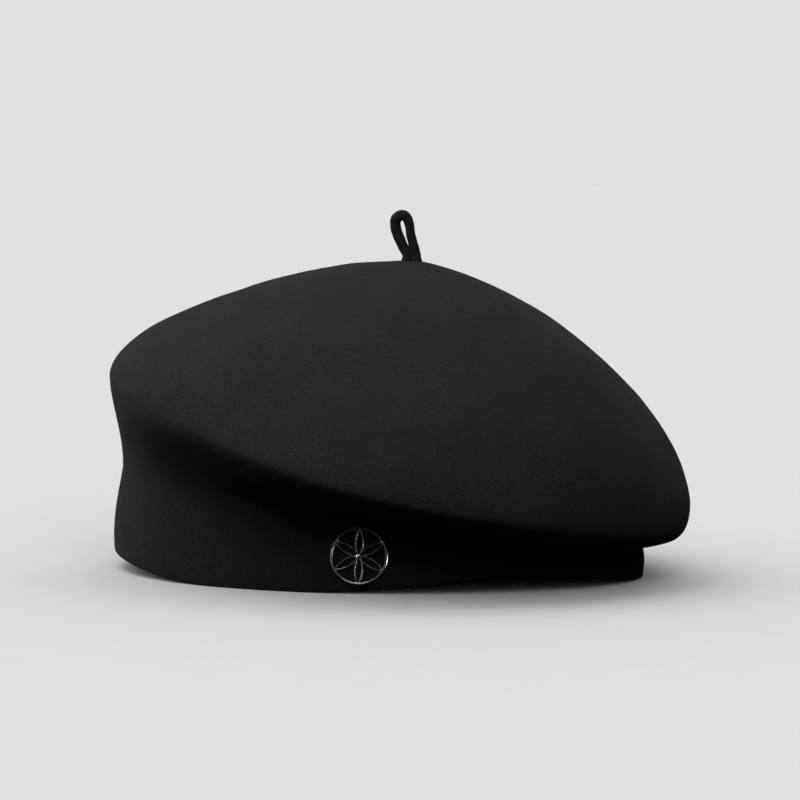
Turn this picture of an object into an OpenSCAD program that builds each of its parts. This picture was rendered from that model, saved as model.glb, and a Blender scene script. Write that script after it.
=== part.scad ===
// Blocked wool felt beret with a rolled felt hanging loop, a ribbed sweatband and a metal badge.
// Millimetres. +Z up, -X to the wearer's front, -Y to the wearer's left.
// The origin is on the rest plane of the rim, below the middle of the hat.

/* [Rim] */
// Origin to the front of the rim
rim_front = 109.4; // [107:0.2:110]
// Origin to the rear of the rim
rim_rear = 94.4; // [92:0.2:96]
// Half width of the rim
rim_side = 82; // [79:0.5:84]
// How far the rim's edge lifts off the rest plane along each side
rise_side = 5.2; // [0:0.1:7]
// How far it lifts at the front
rise_front = 6.5; // [0:0.1:8]

/* [Band] */
// Height of the crease above the band, at the side
crease_mid = 26.6; // [25:0.2:28]
// How much that crease rises to the front and falls to the rear
crease_slope = 10.8; // [9:0.2:11.6]
// How far the band draws in below the crease, at the side
waist_in = 4.5; // [3:0.5:5]
// How far the band swells out at half height, at the front
band_swell = 1.2; // [0:0.1:2]

/* [Crown] */
// Half length of the crown, along X
crown_long = 111.8; // [110.8:0.2:114]
// Half width of the crown, along Y
crown_side = 116; // [112:1:120]
// Height of the crown's widest line, at the side
shoulder_mid = 37.5; // [36.5:0.5:40]
// How much that line rises to the front and falls to the rear
shoulder_slope = 23.5; // [22:0.5:25]
// Height of the crown
crown_h = 119.8; // [112:0.2:126]
// Fullness of the dome at the front: 1 is a cone and 2 an ellipse
dome_front = 1.65; // [1.45:0.01:1.9]
// Fullness at the sides
dome_side = 1.4; // [1.3:0.01:1.7]
// Fullness at the rear
dome_rear = 1.61; // [1.45:0.01:1.9]

/* [Felt] */
// Thickness of the felt
felt_t = 2.5; // [2:0.1:3]

/* [Hanging loop] */
// Thickness of the rolled felt cord
cord_d = 3.4; // [3:0.1:3.6]
// Distance of the loop's foot behind the origin
loop_x = 3.1; // [0:0.1:6]
// Height of the loop above its foot
loop_h = 15.4; // [14:0.2:20]
// How much thicker the cord is there than at its foot
loop_swell = 1.13; // [1:0.01:1.15]

/* [Sweatband] */
// Height of the ribbon
ribbon_h = 25; // [20:1:28]
// Thickness of the ribbon
ribbon_t = 0.8; // [0.6:0.1:1]
// Length of one stitch
stitch_len = 3.2; // [2.5:0.1:4]

/* [Badge] */
// Outer diameter of the badge
badge_d = 21.5; // [18:0.5:22]
// Distance of the badge in front of the origin
badge_x = 14.6; // [10:0.2:30]
// Height of the badge's centre
badge_z = 14; // [13:0.1:15]
// Width of the badge's lines
badge_line = 0.9; // [0.7:0.1:1.2]

/* [Hidden] */

steps = 72;                       // facets round the hat
turn = 360/steps;
gap = 0.1;                        // clearance between parts that lie on each other
ribbon_gap = 0.3;                 // and between the ribbon and the felt at its seam
thread_d = 0.45;

black_felt = [0.11, 0.11, 0.11];
black_ribbon = [0.07, 0.07, 0.08];
black_thread = [0.16, 0.16, 0.17];
label_satin = [0.86, 0.85, 0.81];
gunmetal = [0.62, 0.63, 0.65];

// ---- shape of the felt ----

function blend(a, b, t) = a + (b - a)*t;
function ease(lo, hi, v) = let (t = min(max((v - lo)/(hi - lo), 0), 1)) t*t*(3 - 2*t);
function unit(v) = v/norm(v);

// 1 at the front or at the rear, fading to 0 along the sides
function frontness(a) = ease(0.35, 1, -cos(a));
function rearness(a) = ease(0.2, 1, cos(a));
function by_side(a, front, side, rear) =
    let (f = frontness(a), r = rearness(a)) front*f + side*(1 - f - r) + rear*r;

// radius at angle a of an oval whose power is 2 for an ellipse and more for a fuller one
function oval(a, along, across, power) =
    pow(pow(abs(cos(a))/along, power) + pow(abs(sin(a))/across, power), -1/power);
function crown_radius(a) = oval(a, crown_long, crown_side, 2);

// height of the rim's edge: it rests on flats at the rear and at both sides of the front
rear_flat = 7;
side_flat = [113, 136];
function rim_z(a) =
    let (b = acos(cos(a)))
    b <= rear_flat ? 0 :
    b < side_flat[0] ? rise_side*pow(sin(180*(b - rear_flat)/(side_flat[0] - rear_flat)), 1.2) :
    b <= side_flat[1] ? 0 :
    rise_front*pow(sin(90*(b - side_flat[1])/(180 - side_flat[1])), 2);
function rim_plan(a) =
    oval(a, blend(rim_front, rim_rear, ease(-0.5, 0.5, cos(a))), rim_side, 2.1)*[cos(a), sin(a), 0];
function rim_point(a) = rim_plan(a) + [0, 0, rim_z(a)];
// level outward direction, square to the rim
function rim_out(a) =
    let (along = rim_plan(a + 0.5) - rim_plan(a - 0.5)) unit([along[1], -along[0], 0]);

// both lines stand higher at the two ends of the hat than a plain slope would
crease_ends = 1.7;
shoulder_ends = 13.9;
function crease_z(a) = crease_mid - crease_slope*cos(a) + crease_ends*pow(cos(a), 2);
function shoulder_z(a) = shoulder_mid - shoulder_slope*cos(a) + shoulder_ends*pow(cos(a), 2);

// how far the band stands outside the rim at height z; negative above its swell
function band_offset(a, z) =
    let (t = min((z - rim_z(a))/(crease_z(a) - rim_z(a)), 1),
         swell = band_swell*by_side(a, 1, 0.5, 0.7))
    swell*sin(180*t) - by_side(a, 2.8, waist_in, 1.2)*t*t*(3 - 2*t);
function band_point(a, z) = rim_plan(a) + band_offset(a, z)*rim_out(a) + [0, 0, z];

function bezier(p, t) =
    p[0]*pow(1 - t, 3) + 3*p[1]*t*pow(1 - t, 2) + 3*p[2]*t*t*(1 - t) + p[3]*pow(t, 3);

// underside of the overhang, from the crease out to the crown's widest line
function under_point(a, t) =
    let (out = [cos(a), sin(a), 0], lift = by_side(a, 90, 28, -28),
         crease = band_point(a, crease_z(a)),
         shoulder = crown_radius(a)*out + [0, 0, shoulder_z(a)])
    bezier([crease,
            crease + by_side(a, 12, 14, 12)*(cos(lift)*out + [0, 0, sin(lift)]),
            shoulder - [0, 0, by_side(a, 12, 7.5, 13)],
            shoulder], t);

// t is 0 at the widest line and 1 at the edge of the stem's hole
function dome_point(a, t) =
    let (phi = 84*t, pull = pow(t, 6), power = by_side(a, dome_front, dome_side, dome_rear),
         across = pow(cos(phi), 2/power), up = pow(sin(phi), 2/power),
         open = [crown_radius(a)*across*cos(a) + 1 - across, crown_radius(a)*across*sin(a),
                 blend(shoulder_z(a), crown_h, up)],
         hole = [loop_x + hole_along*cos(a), hole_across*sin(a), crown_h])
    blend(open, hole, pull);
hole_along = cord_d + 0.15;
hole_across = cord_d/2 + 0.45;

// u runs 0 to 1 up the band, 1 to 2 under the overhang and 2 to 3 over the dome
function skin_point(a, u) =
    u <= 1 ? band_point(a, blend(rim_z(a), crease_z(a), u)) : u <= 2 ? under_point(a, u - 1) : dome_point(a, u - 2);
function outward(a, u) =
    let (e = 0.04, up = skin_point(a, min(u + e, 3)) - skin_point(a, max(u - e, 0)),
         round = skin_point(a + 0.5, u) - skin_point(a - 0.5, u))
    unit(cross(round, up));
// a point at a depth inside the outside of the felt
function below(a, u, depth) =
    u == 0 ? rim_point(a) - depth*rim_out(a) :
    u == 3 ? skin_point(a, u) - [0, 0, depth] : skin_point(a, u) - depth*outward(a, u);

// a point on the ribbon at height h over the rim: it stands off the felt above its sewn edge, and
// stays upright where the felt turns out over it
function ribbon_point(a, h, layer) =
    band_point(a, rim_z(a) + h) - (felt_t + ribbon_gap + 1.2*ease(2, 6, h) + layer)*rim_out(a);

// ---- general solids ----

// closed sheet between two grids of points, outside and inside; ring joins the last column to
// the first
module sheet(outside, inside, ring = false) {
    rows = len(outside);
    cols = len(outside[0]);
    half = rows*cols;
    last = ring ? cols : cols - 1;
    function at(r, c) = r*cols + c % cols;
    skins = [for (r = [0:rows - 2], c = [0:last - 1])
        let (a = at(r, c), b = at(r, c + 1), d = at(r + 1, c), e = at(r + 1, c + 1))
        each [[a, e, b], [a, d, e], [half + a, half + b, half + e], [half + a, half + e, half + d]]];
    ends = [for (c = [0:last - 1])
        let (a = at(0, c), b = at(0, c + 1), d = at(rows - 1, c), e = at(rows - 1, c + 1))
        each [[a, b, half + b], [a, half + b, half + a], [e, d, half + d], [e, half + d, half + e]]];
    sides = ring ? [] : [for (r = [0:rows - 2])
        let (a = at(r, 0), d = at(r + 1, 0), b = at(r, cols - 1), e = at(r + 1, cols - 1))
        each [[d, a, half + a], [d, half + a, half + d], [b, e, half + e], [b, half + e, half + b]]];
    flat_list = function (grid) [for (row = grid) each row];
    polyhedron(concat(flat_list(outside), flat_list(inside)), concat(skins, ends, sides));
}

// round cord along a path that lies in a plane square to Y; radii has one value per point
module cord(path, radii, sides = 12) {
    n = len(path);
    rings = [for (i = [0:n - 1])
        let (t = unit(path[min(i + 1, n - 1)] - path[max(i - 1, 0)]), side = [t[2], 0, -t[0]])
        for (k = [0:sides - 1])
            path[i] + radii[i]*(cos(360*k/sides)*side + sin(360*k/sides)*[0, 1, 0])];
    walls = [for (i = [0:n - 2], k = [0:sides - 1])
        let (a = i*sides + k, b = i*sides + (k + 1) % sides)
        each [[a, a + sides, b + sides], [a, b + sides, b]]];
    polyhedron(concat(rings), concat(walls, [[for (k = [0:sides - 1]) k]],
        [[for (k = [sides - 1:-1:0]) (n - 1)*sides + k]]));
}

// straight piece of thread between two points
module thread(from, to) {
    span = to - from;
    translate(from)
        rotate([0, acos(span[2]/norm(span)), atan2(span[1], span[0])])
            cylinder(h = norm(span), d = thread_d, $fn = 24);
}

// ---- felt ----

module felt_body() {
    band_u = [for (i = [0:4]) i/4];
    under_u = [for (i = [1:8]) 1 + i/8];
    dome_u = [for (t = [0.08, 0.18, 0.3, 0.42, 0.54, 0.66, 0.77, 0.87, 0.95, 1]) 2 + t];
    levels = concat(band_u, under_u, dome_u);
    color(black_felt)
        sheet([for (u = levels) [for (i = [0:steps - 1]) skin_point(i*turn, u)]],
              [for (u = levels) [for (i = [0:steps - 1]) below(i*turn, u, felt_t)]], true);
}

// ---- hanging loop ----

foot_gap = cord_d + 0.05;                     // between the centres of the loop's two legs
foot_z = crown_h + cord_d/2 + 0.3;            // axis about which the loop bends over
left_foot = loop_x - foot_gap/2;
right_foot = loop_x + foot_gap/2;
loop_left = loop_x - 6.5;                     // the loop leans to the front
loop_right = loop_x - 0.7;

module stem_loop() {
    function swell(z) = blend(1, loop_swell, ease(0, 0.35*loop_h, z - foot_z));
    curves = [
        [[left_foot, 0], [left_foot - 0.9, 0.17*loop_h], [loop_left, 0.52*loop_h],
         [loop_left, 0.82*loop_h]],
        [[loop_left, 0.82*loop_h], [loop_left, 0.92*loop_h], [loop_left + 1.1, loop_h],
         [loop_left + 2.6, loop_h]],
        [[loop_left + 2.6, loop_h], [loop_left + 4.3, loop_h], [loop_right - 0.5, 0.88*loop_h],
         [loop_right, 0.62*loop_h]],
        [[loop_right, 0.62*loop_h], [loop_right + 0.4, 0.42*loop_h], [right_foot - 0.7, 0.21*loop_h],
         [right_foot, 0]]];
    r = cord_d/2;
    // each foot is a ball about the bending axis
    ball = [75, 50, 25];
    line = [for (i = [0:3], t = [0:0.125:0.99]) let (p = bezier(curves[i], t)) [p[0], 0, foot_z + p[1]]];
    path = concat([for (b = ball) [left_foot, 0, foot_z - r*sin(b)]], line,
        [[right_foot, 0, foot_z]], [for (b = [25, 50, 75]) [right_foot, 0, foot_z - r*sin(b)]]);
    radii = concat([for (b = ball) r*cos(b)], [for (p = line) r*swell(p[2])], [r],
        [for (b = [25, 50, 75]) r*cos(b)]);
    color(black_felt)
        cord(path, radii);
}

patch_t = 1.4;
tail_len = 11;
tail_z = crown_h - felt_t - patch_t - cord_d/2 - 1.1;   // the tails lie flat under the patch
tail_drop = 3.2;                              // and follow its slope
tail_bend = 3;
tail_r = cord_d/2 - 0.05;

module stem_tails() {
    color(black_felt)
        for (side = [-1, 1]) {
            foot = loop_x + side*foot_gap/2;
            path = concat([[foot, 0, crown_h - 0.2]],
                [for (b = [0:18:90])
                    [foot + side*tail_bend*(1 - cos(b)), 0, tail_z + tail_bend*(1 - sin(b))]],
                [[foot + side*(tail_bend + tail_len), 0, tail_z - tail_drop]]);
            cord(path, [for (p = path) tail_r]);
        }
}

// places on the dome, from the patch's edge to the hole
patch_us = [2.86, 2.9, 2.94, 2.97, 3];

module stem_patch() {
    color(black_felt)
        sheet([for (u = patch_us) [for (i = [0:steps - 1]) below(i*turn, u, felt_t + gap)]],
              [for (u = patch_us) [for (i = [0:steps - 1]) below(i*turn, u, felt_t + gap + patch_t)]],
              true);
}

// three staples of thread over each tail, up into the patch
module stem_stitches() {
    clear = tail_r + thread_d/2 + 0.05;
    color(black_thread)
        for (side = [-1, 1], along = [2.5, 5.5, 8.5]) {
            x = loop_x + side*(foot_gap/2 + tail_bend + along);
            mid = tail_z - tail_drop*along/tail_len;
            thread([x, -clear, mid - clear], [x, clear, mid - clear]);
            for (end = [-1, 1])
                thread([x, end*clear, mid - clear], [x, end*clear, mid + tail_r + 0.2]);
        }
}

// ---- sweatband ----

lap = 7.5;                                     // degrees by which the ribbon's ends overlap
lap_extra = ribbon_t + 0.15;
seam_z = 1.8;

module sweatband() {
    angles = [for (a = [-lap:2.5:360 + lap]) a];
    heights = [1, 3, 6, 15, ribbon_h];
    // the last stretch climbs over the first
    function over(a) = lap_extra*ease(360 - 3*lap, 360 - lap, a);
    color(black_ribbon)
        sheet([for (z = heights) [for (a = angles) ribbon_point(a, z, over(a))]],
              [for (z = heights) [for (a = angles) ribbon_point(a, z, over(a) + ribbon_t)]]);
}

module sweatband_stitches() {
    count = 86;
    color(black_thread)
        for (i = [0:count - 1]) {
            a = 360*(i + 0.5)/count;
            mid = ribbon_point(a, seam_z, ribbon_t + thread_d/2 + 0.03
                + lap_extra*ease(360 - 3*lap, 360 - lap, a > 180 ? a : a + 360));
            along = unit(ribbon_point(a + 0.5, seam_z, 0) - ribbon_point(a - 0.5, seam_z, 0));
            thread(mid - along*stitch_len/2, mid + along*stitch_len/2);
        }
}

// puts its children on the inner face of the sweatband: X out of the hat, Y along the band, Z up
// from the rest plane
module on_sweatband(a, h, clear) {
    out = rim_out(a);
    foot = ribbon_point(a, h, ribbon_t + clear);
    translate([foot[0], foot[1], rim_z(a)])
        rotate([0, 0, atan2(out[1], out[0])])
            children();
}

// ---- flat bow over the join, at the rear ----

bow_h = 13;                                     // height of its middle over the rim
bow_w = 9;                                      // width of the bow's ribbon
bow_reach = 17;
bow_t = 3.4;
bow_bend = 8;                                   // its two sides follow the curve of the sweatband
loop_wall = 0.7;
tail_t = 0.6;
wrap_w = 5.2;
wrap_t = 0.6;
bow_clear = lap_extra + 0.5;

module bow_loops() {
    core_t = bow_t/2 + 0.6;
    knot_w = 4.4;
    knot_h = bow_w - 0.8;
    color(black_ribbon)
        on_sweatband(0, bow_h + bow_w/2, bow_clear) {
            for (side = [-1, 1])
                rotate([0, 0, side*bow_bend]) {
                    // one loop, seen from above: a long flat ring that narrows to the middle
                    translate([-tail_t - 0.2 - bow_t/2, 0, bow_h - bow_w/2])
                        linear_extrude(bow_w)
                            difference() {
                                bow_outline(side, 0);
                                bow_outline(side, loop_wall);
                            }
                    // one tail, flat against the sweatband
                    translate([-tail_t, side*2, bow_h])
                        rotate([side*62, 0, 0])
                            translate([0, -bow_w/2 + 1, -18])
                                cube([tail_t, bow_w - 2, 18]);
                }
            // the knot under the wrap
            translate([-tail_t/2 - core_t, -knot_w/2, bow_h - knot_h/2])
                cube([core_t, knot_w, knot_h]);
        }
}

module bow_outline(side, inset) {
    r = bow_t/2 - inset;
    tip = bow_reach - bow_t/2;
    hull() {
        translate([0, side*tip])
            circle(r = r, $fn = 32);
        translate([0, side*(1.5 + inset)])
            circle(r = 0.8 - inset/2, $fn = 32);
    }
}

module bow_wrap() {
    outer_h = bow_w + 0.3 + 2*wrap_t;
    outer_t = bow_t/2 + tail_t + 1.7 + wrap_t;
    // it passes over the bow and leaves its tails free against the sweatband
    depth = outer_t - tail_t - 0.1;
    color(black_ribbon)
        on_sweatband(0, bow_h + bow_w/2, bow_clear)
            translate([-outer_t, -wrap_w/2, bow_h - outer_h/2])
                difference() {
                    cube([depth, wrap_w, outer_h]);
                    translate([wrap_t, -1, wrap_t])
                        cube([depth, wrap_w + 2, outer_h - 2*wrap_t]);
                }
}

module bow_stitches() {
    x = -tail_t - 0.2 - bow_t - thread_d/2 - 0.05;
    color(black_thread)
        on_sweatband(0, bow_h + bow_w/2, bow_clear)
            for (side = [-1, 1], up = [-1, 1])
                rotate([0, 0, side*bow_bend])
                    thread([x, side*(bow_reach - 3.4), bow_h + 3*up],
                           [x, side*(bow_reach - 5.4), bow_h + 3*up]);
}

// ---- badge ----

// direction from the origin in which the rim is badge_x in front of it, on the wearer's left
badge_a = 270 - atan2(badge_x, rim_side);
badge_t = 0.9;
badge_gap = 0.25;                               // the badge stands off the curved felt
prong_d = 0.8;
prong_x = badge_d/2 - badge_line/2;             // the two prongs stand behind the ring
felt_drop = 0.75;                               // the felt curves back this far at the prongs
washer_t = 0.3;
prong_depth = felt_t + felt_drop + 0.15 + washer_t;

// puts its children in the badge's plane: Z out of the felt, Y up
module on_badge() {
    foot = band_point(badge_a, badge_z);
    up = unit(band_point(badge_a, badge_z + 1) - band_point(badge_a, badge_z - 1));
    out = unit(cross(rim_point(badge_a + 0.5) - rim_point(badge_a - 0.5), up));
    right = cross(up, out);
    multmatrix([[right[0], up[0], out[0], foot[0]],
                [right[1], up[1], out[1], foot[1]],
                [right[2], up[2], out[2], foot[2]],
                [0, 0, 0, 1]])
        children();
}

module ring_2d(r, w) {
    difference() {
        circle(r = r + w/2, $fn = 96);
        circle(r = r - w/2, $fn = 96);
    }
}

module badge() {
    r = badge_d/2 - badge_line/2;
    color(gunmetal)
        on_badge() {
            translate([0, 0, badge_gap])
                linear_extrude(badge_t) {
                    ring_2d(r, badge_line);
                    // six petals: arcs of the ring's own radius about six points on the ring
                    intersection() {
                        circle(r = r, $fn = 96);
                        for (i = [0:5])
                            rotate(60*i + 30)
                                translate([r, 0])
                                    ring_2d(r, 0.62*badge_line);
                    }
                }
            for (side = [-1, 1])
                translate([side*prong_x, 0, -prong_depth])
                    cylinder(h = prong_depth + badge_gap + badge_t/2, d = prong_d, $fn = 24);
        }
}

module badge_washers() {
    color(gunmetal)
        on_badge()
            for (side = [-1, 1])
                translate([side*prong_x, 0, -prong_depth])
                    difference() {
                        cylinder(h = washer_t, r = 3, $fn = 48);
                        translate([0, 0, -1])
                            cylinder(h = washer_t + 2, d = prong_d + 0.1, $fn = 24);
                    }
}

// ---- labels, all left blank ----

label_t = 0.4;
maker_us = [2.58, 2.63, 2.68, 2.73, 2.78];      // from its lower to its upper edge
maker_half = 17;                                // half its width
maker_gap = 0.7;                                // it bridges the hollow of the crown

// a point of the label: across runs from -1 to 1
function maker_point(across, u, depth) = below(atan(across*maker_half/skin_point(0, u)[0]), u, depth);

module maker_label() {
    places = [-1:0.25:1];
    depth = felt_t + maker_gap;
    color(label_satin)
        sheet([for (u = maker_us) [for (p = places) maker_point(p, u, depth)]],
              [for (u = maker_us) [for (p = places) maker_point(p, u, depth + label_t)]]);
}

module maker_label_stitches() {
    depth = felt_t + maker_gap + label_t + thread_d/2 + 0.1;
    color(black_thread)
        for (u = [maker_us[0] + 0.01, maker_us[4] - 0.01], i = [-4:4])
            thread(maker_point(0.21*i - 0.06, u, depth), maker_point(0.21*i + 0.06, u, depth));
}

size_a = 26;                                    // degrees round from the rear
size_w = 11;
size_h = 7;                                     // height of its lower edge over the rim
care_a = -27;
care_w = 16;
care_h = 18;
care_t = 0.9;
care_clear = 0.9;
care_hinge_h = ribbon_h - 1.5;

module size_patch() {
    color(label_satin)
        on_sweatband(size_a, size_h + size_w, 0.5)
            translate([-label_t, -size_w/2, size_h])
                cube([label_t, size_w, size_w]);
}

module size_patch_stitches() {
    x = -label_t - thread_d/2 - 0.02;
    inset = size_w/2 - 0.8;
    color(black_thread)
        on_sweatband(size_a, size_h + size_w, 0.5)
            translate([x, 0, size_h + size_w/2])
                for (edge = [-1, 1], i = [-1:1]) {
                    thread([0, edge*inset, 3*i - 1], [0, edge*inset, 3*i + 1]);
                    thread([0, 3*i - 1, edge*inset], [0, 3*i + 1, edge*inset]);
                }
}

// a folded tape that hangs from the seam at its top edge
module care_label() {
    color(label_satin)
        on_sweatband(care_a, care_hinge_h, care_clear)
            translate([-care_t/2, -care_w/2, care_hinge_h])
                rotate([-90, 0, 0])
                    linear_extrude(care_w)
                        hull() {
                            circle(d = care_t, $fn = 24);
                            translate([0, care_h])
                                circle(d = care_t, $fn = 24);
                        }
}

module care_label_stitches() {
    color(black_thread)
        on_sweatband(care_a, care_hinge_h, thread_d/2 + 0.55)
            for (i = [-2:2])
                thread([0, 3*i - 0.9, care_hinge_h + 0.9], [0, 3*i + 0.9, care_hinge_h + 0.9]);
}

felt_body();
stem_loop();
stem_tails();
stem_patch();
stem_stitches();
sweatband();
sweatband_stitches();
bow_loops();
bow_wrap();
bow_stitches();
badge();
badge_washers();
maker_label();
maker_label_stitches();
size_patch();
size_patch_stitches();
care_label();
care_label_stitches();
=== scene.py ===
import math

import bmesh
import bpy
import numpy as np
from mathutils import Matrix, Vector, noise


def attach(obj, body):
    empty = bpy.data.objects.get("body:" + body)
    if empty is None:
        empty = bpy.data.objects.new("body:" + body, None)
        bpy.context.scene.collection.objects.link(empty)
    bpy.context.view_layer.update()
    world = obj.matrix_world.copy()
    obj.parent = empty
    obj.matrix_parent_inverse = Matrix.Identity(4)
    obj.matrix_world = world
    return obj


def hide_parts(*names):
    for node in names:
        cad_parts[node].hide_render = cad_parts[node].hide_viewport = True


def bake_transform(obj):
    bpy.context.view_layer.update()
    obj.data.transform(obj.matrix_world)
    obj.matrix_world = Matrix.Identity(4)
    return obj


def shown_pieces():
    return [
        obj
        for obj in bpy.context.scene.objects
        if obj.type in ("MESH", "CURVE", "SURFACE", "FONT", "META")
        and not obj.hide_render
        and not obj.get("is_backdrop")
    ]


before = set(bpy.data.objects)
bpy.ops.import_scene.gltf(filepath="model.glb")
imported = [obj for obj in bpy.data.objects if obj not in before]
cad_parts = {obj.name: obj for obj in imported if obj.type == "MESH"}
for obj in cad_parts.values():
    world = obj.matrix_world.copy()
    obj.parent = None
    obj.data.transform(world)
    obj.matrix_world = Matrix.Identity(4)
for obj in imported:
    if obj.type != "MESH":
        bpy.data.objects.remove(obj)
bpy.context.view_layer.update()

# A blocked wool felt beret. Lengths below are in millimetres, and MM turns them into metres where
# a mesh, a light or the camera is made. Angles round the hat are in degrees: 0 is the rear, 180 the
# front and 270 the side that faces the camera.
MM = 0.001

# ---- camera ----

CAMERA_AT = Vector((0.8, -1689, 192.5))
LOOK_AT = Vector((-0.4, 0, 66))
LENS = 197.7
ROLL = 1.0


def make_camera():
    data = bpy.data.cameras.new("camera")
    data.lens = LENS
    data.sensor_width = 36
    camera = bpy.data.objects.new("camera", data)
    bpy.context.scene.collection.objects.link(camera)
    turn = (LOOK_AT - CAMERA_AT).to_track_quat("-Z", "Y").to_matrix().to_4x4()
    camera.matrix_world = (Matrix.Translation(CAMERA_AT * MM) @ turn
                           @ Matrix.Rotation(math.radians(ROLL), 4, "Z"))
    bpy.context.scene.camera = camera


make_camera()

# ---- general shapes ----


def cos(a):
    return np.cos(np.radians(a))


def sin(a):
    return np.sin(np.radians(a))


def mix(a, b, t):
    return a + (b - a) * t


def ease(low, high, v):
    t = np.clip((v - low) / (high - low), 0, 1)
    return t * t * (3 - 2 * t)


def unit(v):
    return v / np.linalg.norm(v, axis=-1, keepdims=True)


def points(x, y, z):
    """Points from three coordinates, each a number or an array."""
    return np.stack(np.broadcast_arrays(x, y, z), axis=-1).astype(float)


def bezier(p, t):
    t = np.asarray(t, float)[..., None]
    return (1 - t)**3 * p[0] + 3*t*(1 - t)**2 * p[1] + 3*t*t*(1 - t) * p[2] + t**3 * p[3]


def rough(p, size, seed=0):
    """Smooth noise from about -1 to 1 at each point, with bumps of about that size in mm."""
    flat = p.reshape(-1, 3) / size + seed
    return np.array([noise.noise(v) for v in flat]).reshape(p.shape[:-1]) * 1.6


class Shell:
    """Vertices and faces of one piece, gathered from grids and tubes."""

    def __init__(self):
        self.parts = []
        self.faces = []
        self.count = 0

    def grid(self, grid, wrap_rows=False, wrap_cols=False, caps=False):
        """A grid of points as faces. caps closes the first and last column of wrapped rows."""
        rows, cols = grid.shape[:2]
        r = np.arange(rows if wrap_rows else rows - 1)[:, None]
        c = np.arange(cols if wrap_cols else cols - 1)[None, :]
        below, after = (r + 1) % rows, (c + 1) % cols
        quads = np.stack([r*cols + c, r*cols + after, below*cols + after, below*cols + c], axis=-1)
        self.faces += (quads.reshape(-1, 4) + self.count).tolist()
        if caps:
            start = self.count + np.arange(rows) * cols
            self.faces.append(start.tolist())
            self.faces.append((start[::-1] + cols - 1).tolist())
        self.parts.append(grid.reshape(-1, 3))
        self.count += rows * cols
        return self

    def tube(self, path, radii, sides=12, side_way=None, ply=0.0, twist=0.0):
        """A tube along a path. radii is a number or one per point, side_way a direction that the
        path never takes, and ply the depth of the grooves between twisted strands."""
        path = np.asarray(path, float)
        along = unit(np.gradient(path, axis=0))
        if side_way is None:
            side_way = np.array([0, 0, 1.0]) if abs(along[:, 2]).mean() < 0.7 else np.array([1.0, 0, 0])
        first = unit(np.cross(along, side_way))
        second = unit(np.cross(first, along))
        length = np.concatenate([[0], np.cumsum(np.linalg.norm(np.diff(path, axis=0), axis=1))])
        angle = np.linspace(0, 2*np.pi, sides, endpoint=False)
        groove = 1 - ply*np.abs(np.sin(angle[None, :] - twist*length[:, None]))**3
        radii = np.broadcast_to(np.asarray(radii, float), (len(path),))
        ring = (radii[:, None] * groove)[..., None]
        grid = (path[:, None] + ring*(np.cos(angle)[None, :, None]*first[:, None]
                                      + np.sin(angle)[None, :, None]*second[:, None]))
        self.grid(grid.transpose(1, 0, 2), wrap_rows=True, caps=True)
        return self

    def make(self, name, material, body="hat", slot=None, replaces=(), smooth=True):
        mesh = bpy.data.meshes.new(name)
        mesh.from_pydata((np.concatenate(self.parts) * MM).tolist(), [], self.faces)
        mesh.validate()
        if smooth:
            mesh.shade_smooth()
        mesh.materials.append(material)
        piece = bpy.data.objects.new(name, mesh)
        bpy.context.scene.collection.objects.link(piece)
        fix_normals(piece)
        if body:
            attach(piece, body)
        if replaces:
            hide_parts(*replaces)
        return piece


def fix_normals(piece):
    work = bmesh.new()
    work.from_mesh(piece.data)
    bmesh.ops.recalc_face_normals(work, faces=work.faces)
    work.to_mesh(piece.data)
    work.free()


# ---- shape of the felt: the same rules as the CAD part ----

RIM_FRONT, RIM_REAR, RIM_SIDE = 109.4, 94.4, 82
RISE_SIDE, RISE_FRONT = 5.2, 6.5
CREASE_MID, CREASE_SLOPE, CREASE_ENDS = 26.6, 10.8, 1.7
WAIST_IN, BAND_SWELL = 4.5, 1.2
CROWN_LONG, CROWN_SIDE, CROWN_H = 111.8, 116, 119.8
SHOULDER_MID, SHOULDER_SLOPE, SHOULDER_ENDS = 37.5, 23.5, 13.9
DOME_FRONT, DOME_SIDE, DOME_REAR = 1.65, 1.4, 1.61
FELT_T = 2.5
CORD_D, LOOP_X, LOOP_H = 3.4, 3.1, 15.4
HOLE_ALONG, HOLE_ACROSS = CORD_D + 0.05, CORD_D/2 + 0.05    # snug round the loop's foot
REAR_FLAT, SIDE_FLAT = 7, (113, 136)
GAP, RIBBON_GAP = 0.1, 0.3


def by_side(a, front, side, rear):
    at_front, at_rear = ease(0.35, 1, -cos(a)), ease(0.2, 1, cos(a))
    return front*at_front + side*(1 - at_front - at_rear) + rear*at_rear


def oval(a, along, across, power):
    return (np.abs(cos(a)/along)**power + np.abs(sin(a)/across)**power)**(-1/power)


def crown_radius(a):
    return oval(a, CROWN_LONG, CROWN_SIDE, 2)


def rim_z(a):
    b = np.degrees(np.arccos(np.clip(cos(a), -1, 1)))
    side = sin(180*np.clip((b - REAR_FLAT)/(SIDE_FLAT[0] - REAR_FLAT), 0, 1))
    front = sin(90*np.clip((b - SIDE_FLAT[1])/(180 - SIDE_FLAT[1]), 0, 1))
    return RISE_SIDE*np.maximum(side, 0)**1.2 + RISE_FRONT*front**2


def rim_plan(a):
    r = oval(a, mix(RIM_FRONT, RIM_REAR, ease(-0.5, 0.5, cos(a))), RIM_SIDE, 2.1)
    return points(r*cos(a), r*sin(a), 0*r)


def rim_out(a):
    along = rim_plan(a + 0.5) - rim_plan(a - 0.5)
    return unit(points(along[..., 1], -along[..., 0], 0))


def crease_z(a):
    return CREASE_MID - CREASE_SLOPE*cos(a) + CREASE_ENDS*cos(a)**2


def shoulder_z(a):
    return SHOULDER_MID - SHOULDER_SLOPE*cos(a) + SHOULDER_ENDS*cos(a)**2


def up(z):
    return points(0, 0, z)


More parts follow.
